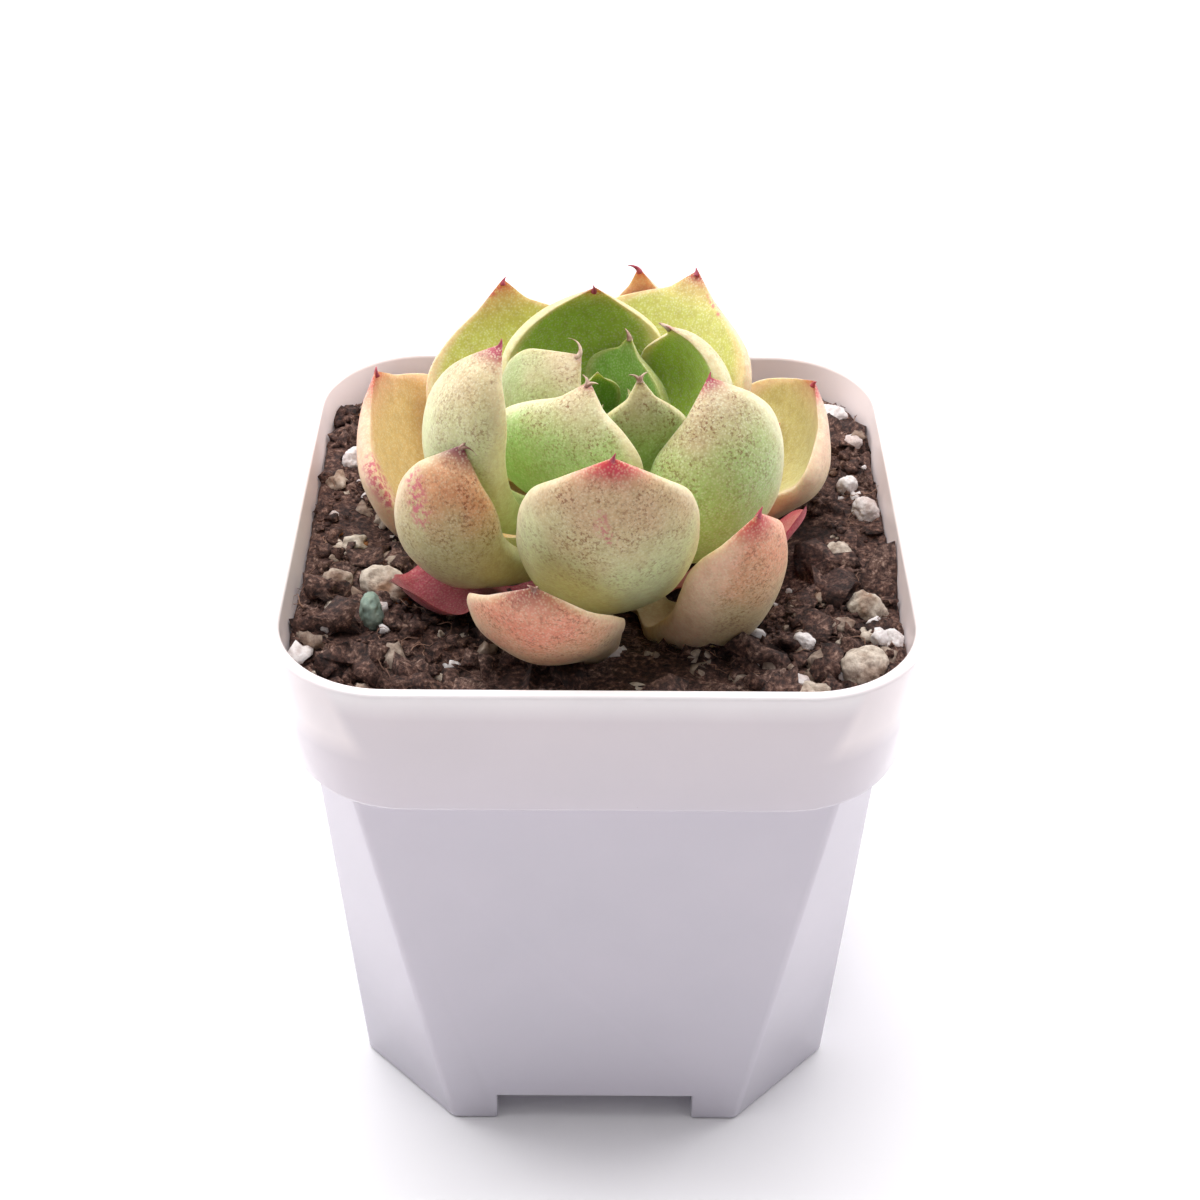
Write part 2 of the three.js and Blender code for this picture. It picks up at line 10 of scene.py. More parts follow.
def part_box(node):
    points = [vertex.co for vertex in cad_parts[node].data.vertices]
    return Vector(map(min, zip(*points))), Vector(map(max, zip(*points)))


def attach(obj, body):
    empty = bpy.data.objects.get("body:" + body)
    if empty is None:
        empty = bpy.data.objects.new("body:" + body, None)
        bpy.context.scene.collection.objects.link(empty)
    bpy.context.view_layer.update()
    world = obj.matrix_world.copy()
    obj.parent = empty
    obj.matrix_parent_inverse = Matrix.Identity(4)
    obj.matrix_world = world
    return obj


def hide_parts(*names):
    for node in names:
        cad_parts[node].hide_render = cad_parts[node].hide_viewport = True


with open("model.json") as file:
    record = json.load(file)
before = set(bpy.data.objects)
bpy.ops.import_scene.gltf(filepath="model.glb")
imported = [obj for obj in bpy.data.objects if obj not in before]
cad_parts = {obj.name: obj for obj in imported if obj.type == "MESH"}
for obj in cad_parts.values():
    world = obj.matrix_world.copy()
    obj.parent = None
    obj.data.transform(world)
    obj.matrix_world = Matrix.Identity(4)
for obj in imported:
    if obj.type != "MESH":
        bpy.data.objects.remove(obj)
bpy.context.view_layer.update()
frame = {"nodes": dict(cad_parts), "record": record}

# ---------------------------------------------------------------- studio
# A white table that runs out of sight, broad soft lights behind and beside the plant, and the
# camera in front, looking down on the rosette.
scene = bpy.context.scene
scene.view_settings.view_transform = "Standard"
scene.view_settings.look = "None"


def new_material(name):
    material = bpy.data.materials.new(name)
    material.use_nodes = True
    tree = material.node_tree
    shader = tree.nodes["Principled BSDF"]
    return material, tree, shader


def link(tree, a, out, b, into):
    tree.links.new(a.outputs[out], b.inputs[into])


def node(tree, kind, **values):
    made = tree.nodes.new(kind)
    for key, value in values.items():
        setattr(made, key, value)
    return made


def object_noise(tree, scale, detail=3.0, roughness=0.5, stretch=(1, 1, 1)):
    place = node(tree, "ShaderNodeTexCoord")
    turn = node(tree, "ShaderNodeMapping")
    turn.inputs["Scale"].default_value = stretch
    made = node(tree, "ShaderNodeTexNoise")
    made.inputs["Scale"].default_value = scale
    made.inputs["Detail"].default_value = detail
    made.inputs["Roughness"].default_value = roughness
    link(tree, place, "Object", turn, "Vector")
    link(tree, turn, "Vector", made, "Vector")
    return made


def bump(tree, shader, source, out, strength, distance):
    made = node(tree, "ShaderNodeBump")
    made.inputs["Strength"].default_value = strength
    made.inputs["Distance"].default_value = distance
    link(tree, source, out, made, "Height")
    link(tree, made, "Normal", shader, "Normal")


def place_mesh(name, bm, material):
    """The finished mesh as a piece at the origin, smooth shaded."""
    mesh = bpy.data.meshes.new(name)
    bm.to_mesh(mesh)
    bm.free()
    mesh.shade_smooth()
    piece = bpy.data.objects.new(name, mesh)
    bpy.context.collection.objects.link(piece)
    if material:
        mesh.materials.append(material)
    return piece


table_white, tree, shader = new_material("table_white")
shader.inputs["Base Color"].default_value = (0.88, 0.875, 0.885, 1)
shader.inputs["Roughness"].default_value = 0.7
grain = object_noise(tree, 30)
bump(tree, shader, grain, "Fac", 0.02, 0.001)
bm = bmesh.new()
bmesh.ops.create_grid(bm, x_segments=8, y_segments=8, size=4.0)
table = place_mesh("table", bm, table_white)

world = bpy.data.worlds.new("studio")
scene.world = world
world.use_nodes = True
tree = world.node_tree
sky = tree.nodes["Background"]
way = node(tree, "ShaderNodeTexCoord")
slope = node(tree, "ShaderNodeVectorMath", operation="DOT_PRODUCT")
slope.inputs[1].default_value = (0.0, 0.75, 1.0)
link(tree, way, "Generated", slope, 0)
lift = node(tree, "ShaderNodeMath", operation="ADD")
lift.inputs[1].default_value = 0.14
link(tree, slope, "Value", lift, 0)
floor_level = node(tree, "ShaderNodeMath", operation="MAXIMUM")
floor_level.inputs[1].default_value = 0.06
link(tree, lift, 0, floor_level, 0)
link(tree, floor_level, 0, sky, "Strength")
sky.inputs["Color"].default_value = (1.0, 0.975, 1.0, 1)


def soft_light(name, at, aim, width, height, power):
    data = bpy.data.lights.new(name, "AREA")
    data.shape = "RECTANGLE"
    data.size = width
    data.size_y = height
    data.energy = power
    light = bpy.data.objects.new(name, data)
    bpy.context.collection.objects.link(light)
    light.location = at
    light.rotation_euler = (Vector(aim) - Vector(at)).to_track_quat("-Z", "Y").to_euler()


soft_light("light_left", (-0.62, 0.32, 0.34), (0, 0, 0.07), 0.45, 0.5, 2.6)
soft_light("light_right", (0.62, 0.36, 0.34), (0, 0, 0.07), 0.45, 0.5, 2.8)
soft_light("light_top", (-0.1, 0.12, 0.8), (0, 0, 0.06), 0.6, 0.5, 4.6)

camera_data = bpy.data.cameras.new("camera")
camera_data.sensor_width = 36
camera_data.lens = 64.26
camera_data.clip_start = 0.01
camera = bpy.data.objects.new("camera", camera_data)
bpy.context.collection.objects.link(camera)
scene.camera = camera
eye = Vector((0.000112, -0.217310, 0.222110))
sight = Vector((0.000758, 0.805335, -0.592820)).normalized()
level = sight.cross(Vector((0, 0, 1))).normalized()
upward = level.cross(sight)
tilt = math.radians(0.39)
right = level * math.cos(tilt) + upward * math.sin(tilt)
top = upward * math.cos(tilt) - level * math.sin(tilt)
camera.matrix_world = Matrix.Translation(eye) @ Matrix((right, top, -sight)).transposed().to_4x4()

# ---------------------------------------------------------------- pot
# A square nursery pot moulded in one shot of glossy white plastic: a thin tapering body with
# corner chamfers that widen downward, a deeper band round the rim with a rolled lip, and a
# raised floor over four corner feet with drain channels between them.
MM = 0.001
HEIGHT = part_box("pot")[1][2]
RIM_HALF = 37.5 * MM
RIM_TAPER = 1.65 * MM
BAND = 18.3 * MM
RIM_WALL = 1.5 * MM
RIM_CORNER = 8.4 * MM
BODY_HALF = 32.65 * MM
BODY_TAPER = 1.95 * MM
CHAMFER = (4.6 * MM, 12.2 * MM)
WALL = 1.2 * MM
NOTCH_HALF = 12.7 * MM
NOTCH_HEIGHT = 4.5 * MM
FLOOR_LIFT = 0.4 * MM
HOLE_RADIUS = 2.75 * MM
HOLE_SPACING = 17 * MM
LIP_OUTSIDE = 0.6 * MM
LIP_INSIDE = 0.5 * MM
HEM_ROUND = 0.8 * MM
FOOT_EDGE = 0.5 * MM
EDGE_EASE = 0.15 * MM
SHOULDER = 0.6 * MM
SHOULDER_EASE = 0.1 * MM
SHOULDER_REACH = 0.5 * MM
BODY_FILLET = 1.6 * MM
FULL_FILLET = 1
TOOL_WIDE = 0.1
TOOL_TALL = 0.02
band_foot = HEIGHT - BAND


def square_outline(half, leg, fillet, steps=9):
    """A square with chamfered corners, the ends of each chamfer rounded as far as they can be."""
    radius = min(fillet, leg / (2 - math.sqrt(2)))
    inset = radius * math.tan(math.pi / 8)
    points = []
    for k in range(8):
        side = (k // 2) * math.pi / 2
        x, y = (half - radius, half - leg - inset) if k % 2 == 0 else (half - leg - inset, half - radius)
        x, y = x * math.cos(side) - y * math.sin(side), x * math.sin(side) + y * math.cos(side)
        for i in range(steps + 1):
            angle = side + (k % 2) * math.pi / 4 + i / steps * math.pi / 4
            points.append((x + radius * math.cos(angle), y + radius * math.sin(angle)))
    return points


def body_ring(z, inset):
    t = min(max(1 - z / band_foot, 0), 1)
    leg = CHAMFER[0] + (CHAMFER[1] - CHAMFER[0]) * t - inset * (2 - math.sqrt(2))
    return z, square_outline(BODY_HALF - BODY_TAPER * t - inset, leg, BODY_FILLET)


def band_ring(z, inset):
    t = (HEIGHT - z) / BAND
    leg = RIM_CORNER - inset * (2 - math.sqrt(2))
    return z, square_outline(RIM_HALF - RIM_TAPER * t - inset, leg, FULL_FILLET)


def loft(bm, levels):
    """Walls pulled up from an outline through each level, closed at both ends."""
    count = len(levels[0][1])
    verts = bmesh.ops.create_circle(bm, segments=count, radius=0.01)["verts"]
    verts.sort(key=lambda v: math.atan2(v.co.y, v.co.x) % math.tau)
    for vert, (x, y) in zip(verts, levels[0][1]):
        vert.co = (x, y, levels[0][0])
    edges = [e for e in bm.edges if e.verts[0] in verts and e.verts[1] in verts]
    bmesh.ops.contextual_create(bm, geom=edges)
    for z, outline in levels[1:]:
        made = bmesh.ops.extrude_edge_only(bm, edges=edges)["geom"]
        fresh = [g for g in made if isinstance(g, bmesh.types.BMVert)]
        edges = [g for g in made if isinstance(g, bmesh.types.BMEdge)
                 and g.verts[0] in fresh and g.verts[1] in fresh]
        old = {vert: i for i, vert in enumerate(verts)}
        ring = [None] * count
        for vert in fresh:
            i = next(old[e.other_vert(vert)] for e in vert.link_edges if e.other_vert(vert) in old)
            vert.co = (*outline[i], z)
            ring[i] = vert
        verts = ring
    bmesh.ops.contextual_create(bm, geom=edges)
    bmesh.ops.recalc_face_normals(bm, faces=bm.faces)


lip = []
for step in range(7):
    turn = step / 6 * math.pi / 2
    lip.append(band_ring(HEIGHT - LIP_OUTSIDE * (1 - math.sin(turn)), LIP_OUTSIDE * (1 - math.cos(turn))))
for step in range(7):
    turn = step / 6 * math.pi / 2
    inward = RIM_WALL - LIP_INSIDE * (1 - math.sin(turn))
    lip.append(band_ring(HEIGHT - LIP_INSIDE * (1 - math.cos(turn)), inward))
hem = []
for step in range(6):
    turn = step / 5 * math.pi / 2
    hem.append(band_ring(band_foot + HEM_ROUND * (1 - math.cos(turn)), HEM_ROUND * (1 - math.sin(turn))))
bm = bmesh.new()
loft(bm, [
    body_ring(0, FOOT_EDGE), body_ring(EDGE_EASE, EDGE_EASE), body_ring(FOOT_EDGE, 0),
    body_ring(band_foot - SHOULDER, 0), body_ring(band_foot - EDGE_EASE, -SHOULDER_EASE),
    body_ring(band_foot, -SHOULDER_REACH), *hem, *lip,
    band_ring(band_foot + WALL + HEM_ROUND, RIM_WALL), body_ring(band_foot + WALL, WALL),
    body_ring(WALL, WALL),
])
pot = place_mesh("pot_shell", bm, None)


def carve(tool, operation):
    """A tool that is joined to the pot or taken from it."""
    tool.hide_render = True
    change = pot.modifiers.new(tool.name, "BOOLEAN")
    change.operation = operation
    change.object = tool
    change.solver = "EXACT"
    return tool


def cutter(name, sizes, at, operation):
    bm = bmesh.new()
    bmesh.ops.create_cube(bm, size=1, matrix=Matrix.Translation(at) @ Matrix.Diagonal((*sizes, 1)))
    return carve(place_mesh(name, bm, None), operation)


across = 2 * (NOTCH_HALF + WALL)
inside = 2 * (BODY_HALF - BODY_TAPER - 0.5 * WALL)
tools = []
for k, (w, d) in enumerate(((inside, across), (across, inside))):
    tall = NOTCH_HEIGHT + WALL - FLOOR_LIFT
    tools.append(cutter(f"floor_{k}", (w, d, tall), (0, 0, FLOOR_LIFT + tall / 2), "UNION"))
for k, (w, d) in enumerate(((TOOL_WIDE, 2 * NOTCH_HALF), (2 * NOTCH_HALF, TOOL_WIDE))):
    middle = (0, 0, NOTCH_HEIGHT - TOOL_TALL / 2)
    tools.append(cutter(f"channel_{k}", (w, d, TOOL_TALL), middle, "DIFFERENCE"))
for k, (x, y) in enumerate(((0, 0), (1, 0), (0, 1), (-1, 0), (0, -1))):
    bm = bmesh.new()
    middle = Matrix.Translation((HOLE_SPACING * x, HOLE_SPACING * y, NOTCH_HEIGHT))
    bmesh.ops.create_cone(bm, cap_ends=True, segments=32, radius1=HOLE_RADIUS, radius2=HOLE_RADIUS,
                          depth=TOOL_TALL / 2, matrix=middle)
    tools.append(carve(place_mesh(f"hole_{k}", bm, None), "DIFFERENCE"))
soft_edge = pot.modifiers.new("soft_edge", "BEVEL")
soft_edge.width = 0.3 * MM
soft_edge.segments = 2
soft_edge.limit_method = "ANGLE"
soft_edge.angle_limit = math.radians(50)


def settle(piece):
    """The piece's modifiers become its mesh."""
    graph = bpy.context.evaluated_depsgraph_get()
    mesh = bpy.data.meshes.new_from_object(piece.evaluated_get(graph))
    piece.modifiers.clear()
    piece.data = mesh
    return mesh


settle(pot).shade_smooth()
pot.data.set_sharp_from_angle(angle=math.radians(35))
for tool in tools:
    bpy.data.objects.remove(tool)


def rgb(red, green, blue):
    """A colour as a paint card gives it, 0 to 255, in the linear light that shaders use."""
    return tuple(((c / 255 + 0.055) / 1.055) ** 2.4 if c > 10 else c / 3294 for c in (red, green, blue))


def ramp(tree, source, out, stops):
    """Colours along a value from 0 to 1, each stop a place and its colour."""
    made = node(tree, "ShaderNodeValToRGB")
    while len(made.color_ramp.elements) < len(stops):
        made.color_ramp.elements.new(0.5)
    for element, (position, color) in zip(made.color_ramp.elements, stops):
        element.position = position
        element.color = (*color, 1)
    link(tree, source, out, made, "Fac")
    return made


# A mix's sockets for its share and its two colours, and its colour output.
MIX_INPUTS = (0, 6, 7)
MIXED = 2


def mix(tree, mode, factor, a, b):
    """Two colours mixed. A node with its output is linked, and a plain value is set."""
    made = node(tree, "ShaderNodeMix", data_type="RGBA", blend_type=mode)
    for value, socket in zip((factor, a, b), MIX_INPUTS):
        if isinstance(value, tuple) and hasattr(value[0], "outputs"):
            link(tree, *value, made, socket)
        elif isinstance(value, tuple):
            made.inputs[socket].default_value = (*value[:3], 1)
        else:
            made.inputs[socket].default_value = value
    return made


pot_plastic, tree, shader = new_material("pot_plastic")
shader.inputs["Roughness"].default_value = 0.24
shader.inputs["Specular IOR Level"].default_value = 0.5
shader.inputs["Subsurface Weight"].default_value = 0.08
shader.inputs["Subsurface Radius"].default_value = (1, 0.9, 0.85)
shader.inputs["Subsurface Scale"].default_value = 0.003
cloud = object_noise(tree, 60, 4)
white = ramp(tree, cloud, "Fac", [(0.3, rgb(250, 249, 250)), (0.7, rgb(255, 253, 254))])
# Painted shade and painted light: the plastic is painted greyer lower down, where opaque soil behind blocks
# the light through it, and the uncovered lip is painted whitest for the light that shines through it.
place = node(tree, "ShaderNodeTexCoord")
height = node(tree, "ShaderNodeSeparateXYZ")
link(tree, place, "Object", height, "Vector")
share = node(tree, "ShaderNodeMath", operation="DIVIDE")
link(tree, height, "Z", share, 0)
share.inputs[1].default_value = HEIGHT
painted_wall_shade = ramp(tree, share, 0, [(0.0, rgb(214, 211, 221)), (0.74, rgb(220, 215, 224)),
                               (0.78, rgb(226, 219, 225)), (0.95, rgb(234, 226, 229)),
                               (0.985, rgb(255, 250, 250))])
# Painted light: the inner sides above the soil are painted near white for the light that shines through the
# thin plastic from behind.
round_x = node(tree, "ShaderNodeMath", operation="ABSOLUTE")
round_y = node(tree, "ShaderNodeMath", operation="ABSOLUTE")
link(tree, height, "X", round_x, 0)
link(tree, height, "Y", round_y, 0)
widest = node(tree, "ShaderNodeMath", operation="MAXIMUM")
link(tree, round_x, 0, widest, 0)
link(tree, round_y, 0, widest, 1)
from_axis = node(tree, "ShaderNodeMath", operation="MULTIPLY")
link(tree, widest, 0, from_axis, 0)
from_axis.inputs[1].default_value = 1 / RIM_HALF
inner_wall = ramp(tree, from_axis, 0, [(0.955, (1, 1, 1)), (0.97, (0, 0, 0))])
above_mix = ramp(tree, share, 0, [(0.86, (0, 0, 0)), (0.9, (1, 1, 1))])
painted_glow_mask = mix(tree, "MULTIPLY", 1.0, (inner_wall, "Color"), (above_mix, "Color"))
painted_shade_and_glow = mix(tree, "MIX", (painted_glow_mask, MIXED), (painted_wall_shade, "Color"), rgb(255, 246, 246))
plastic_with_painted_light = mix(tree, "MULTIPLY", 1.0, (white, "Color"), (painted_shade_and_glow, MIXED))
# Dirt specks over the plastic, whose tone carries the painted shade and painted light above.
specks = node(tree, "ShaderNodeTexVoronoi", feature="F1")
specks.inputs["Scale"].default_value = 420
specks.inputs["Randomness"].default_value = 1
link(tree, place, "Object", specks, "Vector")
near = ramp(tree, specks, "Distance", [(0.05, (1, 1, 1)), (0.09, (0, 0, 0))])
few = ramp(tree, specks, "Color", [(0.925, (0, 0, 0)), (0.93, (1, 1, 1))])
both = mix(tree, "MULTIPLY", 1.0, (near, "Color"), (few, "Color"))
specks_and_painted_light = mix(tree, "MIX", (both, MIXED), (plastic_with_painted_light, MIXED), rgb(120, 92, 82))
link(tree, specks_and_painted_light, MIXED, shader, "Base Color")
ripple = object_noise(tree, 90, 2)
bump(tree, shader, ripple, "Fac", 0.05, 0.0006)
pot.data.materials.clear()
pot.data.materials.append(pot_plastic)
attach(pot, "root")
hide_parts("pot")

# ---------------------------------------------------------------- potting mix
# Dark damp peat, just under the rim, dipping under the rosette and a little at the front.
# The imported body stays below, and a rough crust of finer peat lies over it.
soil_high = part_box("soil")[1]
stem_low, stem_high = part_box("stem")
plant = Vector(((stem_low[0] + stem_high[0]) / 2, (stem_low[1] + stem_high[1]) / 2, 0))
surface_level = soil_high[2] - 0.5 * MM
ROOM_HALF = RIM_HALF - RIM_WALL - 0.25 * MM
ROOM_CORNER = 12.8 * MM
DISH_REACH = 23 * MM
DISH_DEPTH = 7.7
FRONT_AT = 30 * MM
FRONT_WIDE = 20 * MM
FRONT_LONG = 8 * MM
FRONT_SHIFT = 0.3
FRONT_DEPTH = 2.4
EDGE_START, EDGE_WIDTH = 0.985, 0.015
EDGE_DROP = 1.2 * MM


def crust_height(x, y):
    """How high the mix stands at a place: rolls and clods, less the two dips."""
    away = math.hypot(x - plant.x, y - plant.y) / DISH_REACH
    at = Vector((x, y, 0)) / MM
    rolls = noise.noise(at * 0.16 + Vector((3, 7, 1))) * 0.9
    clods = noise.fractal(at * 0.5 + Vector((11, 2, 5)), 0.75, 2.1, 5) * 0.8
    front = math.hypot(x / FRONT_WIDE + FRONT_SHIFT, (y + FRONT_AT) / FRONT_LONG)
    dip = DISH_DEPTH * math.exp(-away ** 4) + FRONT_DEPTH * math.exp(-front ** 4)
    return surface_level + (rolls + clods - dip) * MM


peat, tree, shader = new_material("peat")
fine = object_noise(tree, 1500, 6, 0.7)
broad = object_noise(tree, 190, 5, 0.62)
dark = ramp(tree, fine, "Fac", [(0.32, rgb(34, 25, 25)), (0.45, rgb(78, 60, 56)),
                                (0.55, rgb(122, 98, 90)), (0.64, rgb(178, 156, 144)),
                                (0.76, rgb(224, 210, 200))])
warm = ramp(tree, broad, "Fac", [(0.36, rgb(142, 120, 116)), (0.5, rgb(212, 190, 180)),
                                 (0.64, rgb(255, 248, 242))])
earth = mix(tree, "MULTIPLY", 1.0, (dark, "Color"), (warm, "Color"))
link(tree, earth, MIXED, shader, "Base Color")
damp = ramp(tree, broad, "Fac", [(0.4, (0.62,) * 3), (0.6, (0.95,) * 3)])
link(tree, damp, "Color", shader, "Roughness")
shader.inputs["Specular IOR Level"].default_value = 0.35
bump(tree, shader, fine, "Fac", 1.0, 0.0005)

packed = frame["nodes"]["soil"]
packed.data.materials.clear()
packed.data.materials.append(peat)

bm = bmesh.new()
bmesh.ops.create_grid(bm, x_segments=150, y_segments=150, size=1)
for vert in bm.verts:
    x, y = vert.co.x, vert.co.y
    ring = max(abs(x), abs(y))
    if ring > 0:
        turn = math.atan2(y, x) % math.tau
        way = Vector((math.cos(turn), math.sin(turn)))
        reach = 1 / max(abs(math.cos(turn)), abs(math.sin(turn)))
        flat = way * ROOM_HALF * reach
        start = Vector((1, 1)) * (ROOM_HALF - ROOM_CORNER)
        corner = Vector((abs(flat.x), abs(flat.y))) - start
        if corner.x > 0 and corner.y > 0:
            along = Vector((abs(way.x), abs(way.y))).dot(start)
            spread = math.sqrt(max(ROOM_CORNER ** 2 - start.length_squared + along * along, 0))
            flat = way * (along + spread)
        x, y = flat.x * ring, flat.y * ring
    vert.co = (x, y, crust_height(x, y) - EDGE_DROP * max(0, ring - EDGE_START) / EDGE_WIDTH)
crust = place_mesh("peat_crust", bm, peat)
thick = crust.modifiers.new("thickness", "SOLIDIFY")
thick.thickness = 1.4 * MM
thick.offset = -1
settle(crust).shade_smooth()
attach(crust, "root")

# ---------------------------------------------------------------- crumbs and grit
# Loose crumbs of peat, chips of bark, root fibres and small grains of perlite and stone,
# strewn over the crust round the rosette. Nothing reaches through the pot's wall.
seed = random.Random(7)
RIM_GAP = 1.0 * MM
STREWN_INSET = 13.2 * MM
STREWN_CORNER = 12 * MM
CRUMB_EDGE = ROOM_HALF - 0.1 * MM
CRUMB_CORNER = 12.7 * MM


def strewn(inner):
    """A place on the mix, clear of the rim, not under the rosette."""
    while True:
        x = seed.uniform(-1, 1) * (ROOM_HALF - RIM_GAP)
        y = seed.uniform(-1, 1) * (ROOM_HALF - RIM_GAP)
        straight = ROOM_HALF - STREWN_INSET
        corner = Vector((max(abs(x) - straight, 0), max(abs(y) - straight, 0)))
        away = math.hypot(x - plant.x, (y - plant.y) * 0.95)
        if corner.length < STREWN_CORNER and away > inner:
            return x, y


def within_room(point):
    """The same point, pulled back off the pot's wall and its round corners."""
    x, y = (max(-CRUMB_EDGE, min(CRUMB_EDGE, value)) for value in (point.x, point.y))
    start = ROOM_HALF - ROOM_CORNER
    corner = Vector((abs(x) - start, abs(y) - start))
    if corner.x > 0 and corner.y > 0 and corner.length > CRUMB_CORNER:
        corner *= CRUMB_CORNER / corner.length
        x, y = math.copysign(start + corner.x, x), math.copysign(start + corner.y, y)
    return Vector((x, y, point.z))


def scatter(name, count, sizes, squash, detail, material, inner, rough, sink=0.35):
    """Lumps of the given sizes and flatness, in millimetres, no nearer to the plant than inner."""
    bm = bmesh.new()
    for _ in range(count):
        x, y = strewn(inner)
        size = sizes[0] + (sizes[1] - sizes[0]) * seed.random() ** 2.2
        size *= MM
        shape = Vector((seed.uniform(0.75, 1.3), seed.uniform(0.7, 1.1), seed.uniform(*squash)))
        spin = Matrix.Rotation(seed.uniform(0, math.tau), 4, "Z")
        turn = spin @ Matrix.Rotation(seed.uniform(-0.5, 0.5), 4, "X")
        at = Vector((x, y, crust_height(x, y) + size * shape.z * sink))
        made = bmesh.ops.create_icosphere(bm, subdivisions=detail, radius=1)["verts"]
        shift = Vector((seed.random(), seed.random(), seed.random())) * 50
        for vert in made:
            lump = 1 + rough * noise.noise(vert.co * 1.4 + shift) * 1.8
            point = Vector(a * b for a, b in zip(vert.co, shape)) * lump * size
            vert.co = within_room(turn @ point + at)
    piece = place_mesh(name, bm, material)
    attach(piece, "root")


scatter("peat_dust", 2600, (0.18, 0.5), (0.5, 0.9), 1, peat, 14 * MM, 0.5, 0.6)
scatter("peat_crumbs", 1300, (0.4, 1.2), (0.5, 0.9), 2, peat, 14 * MM, 0.75)
scatter("peat_clods", 190, (1.2, 3.3), (0.5, 0.85), 2, peat, 19 * MM, 0.9, 0.1)


def fibres(name, count, longest, material, inner):
    """Root hairs and peat fibres, each a thin bent thread lying on the mix."""
    bm = bmesh.new()
    for _ in range(count):
        x, y = strewn(inner)
        long = seed.uniform(0.35, 1) * longest
        made = bmesh.ops.create_cone(bm, cap_ends=True, segments=4, radius1=0.075 * MM, radius2=0.03 * MM,
                                     depth=long)["verts"]
        sides = {e for v in made for e in v.link_edges if abs(e.verts[0].co.z - e.verts[1].co.z) > long / 2}
        bmesh.ops.subdivide_edges(bm, edges=list(sides), cuts=5)
        bend = seed.uniform(-1.6, 1.6)
        lift = seed.uniform(0.1, 0.7)
        turn = seed.uniform(0, math.tau)
        shift = seed.uniform(0, 50)
        start = crust_height(x, y) + 0.1 * MM
        for vert in [v for v in bm.verts if not v.tag]:
            vert.tag = True
            along = vert.co.z + long / 2
            angle = turn + bend * along / long + 0.5 * math.sin(along / MM * 1.7 + shift)
            run = Vector((math.cos(angle), math.sin(angle), 0)) * along
            hump = math.sin(math.pi * along / long) * lift * MM
            ground = crust_height(x + run.x, y + run.y) + 0.15 * MM
            side = Vector((-math.sin(angle), math.cos(angle), 0)) * vert.co.x
            lifted = Vector((0, 0, max(start, ground) + hump + vert.co.y))
            vert.co = within_room(Vector((x, y, 0)) + run + side + lifted)
    bmesh.ops.recalc_face_normals(bm, faces=bm.faces)
    piece = place_mesh(name, bm, material)
    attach(piece, "root")


root_hair, tree, shader = new_material("root_hair")
hue = object_noise(tree, 140, 2)
shade = ramp(tree, hue, "Fac", [(0.4, rgb(96, 66, 56)), (0.6, rgb(166, 130, 110))])
link(tree, shade, "Color", shader, "Base Color")
shader.inputs["Roughness"].default_value = 0.8
fibres("root_fibres", 420, 4.2 * MM, root_hair, 19 * MM)


def mineral(name, colors, scale, pit, rough=0.9):
    """Stone with grain in three shades, dark to light, under a dust of the fourth colour."""
    material, tree, shader = new_material(name)
    grain = object_noise(tree, scale, 6, 0.7)
    shades = [rgb(*color) for color in colors]
    tone = ramp(tree, grain, "Fac", [(0.28, shades[0]), (0.5, shades[1]), (0.72, shades[2])])
    dust = object_noise(tree, 260, 3)
    veil = ramp(tree, dust, "Fac", [(0.48, (1, 1, 1)), (0.72, shades[3])])
    shade = mix(tree, "MULTIPLY", 1.0, (tone, "Color"), (veil, "Color"))
    link(tree, shade, MIXED, shader, "Base Color")
    shader.inputs["Roughness"].default_value = rough
    shader.inputs["Specular IOR Level"].default_value = 0.3
    bump(tree, shader, grain, "Fac", pit, 0.0005)
    return material


perlite = mineral("perlite", ((204, 194, 192), (236, 230, 228), (252, 250, 250), (196, 176, 168)),
                  1300, 0.7)
pumice = mineral("pumice", ((140, 122, 108), (206, 192, 176), (232, 222, 208), (176, 146, 128)),
                 1100, 1.0)
grit = mineral("grit", ((104, 88, 80), (158, 140, 126), (196, 180, 164), (180, 150, 134)),
               900, 0.9)
zeolite = mineral("zeolite", ((108, 126, 118), (140, 160, 148), (168, 184, 170), (214, 208, 190)),
                  700, 0.5, 0.75)
bark = mineral("bark", ((96, 58, 34), (150, 98, 60), (190, 138, 92), (190, 150, 120)),
               800, 0.8)
scatter("perlite_grains", 95, (0.3, 1.3), (0.7, 1.0), 2, perlite, 20 * MM, 0.45, 0.5)
scatter("pumice_grains", 75, (0.5, 1.7), (0.6, 1.0), 3, pumice, 20 * MM, 0.5, 0.3)
scatter("grit_grains", 95, (0.4, 1.6), (0.6, 1.0), 2, grit, 20 * MM, 0.5, 0.35)
scatter("bark_chips", 34, (0.5, 1.5), (0.2, 0.4), 2, bark, 20 * MM, 0.5, 0.4)

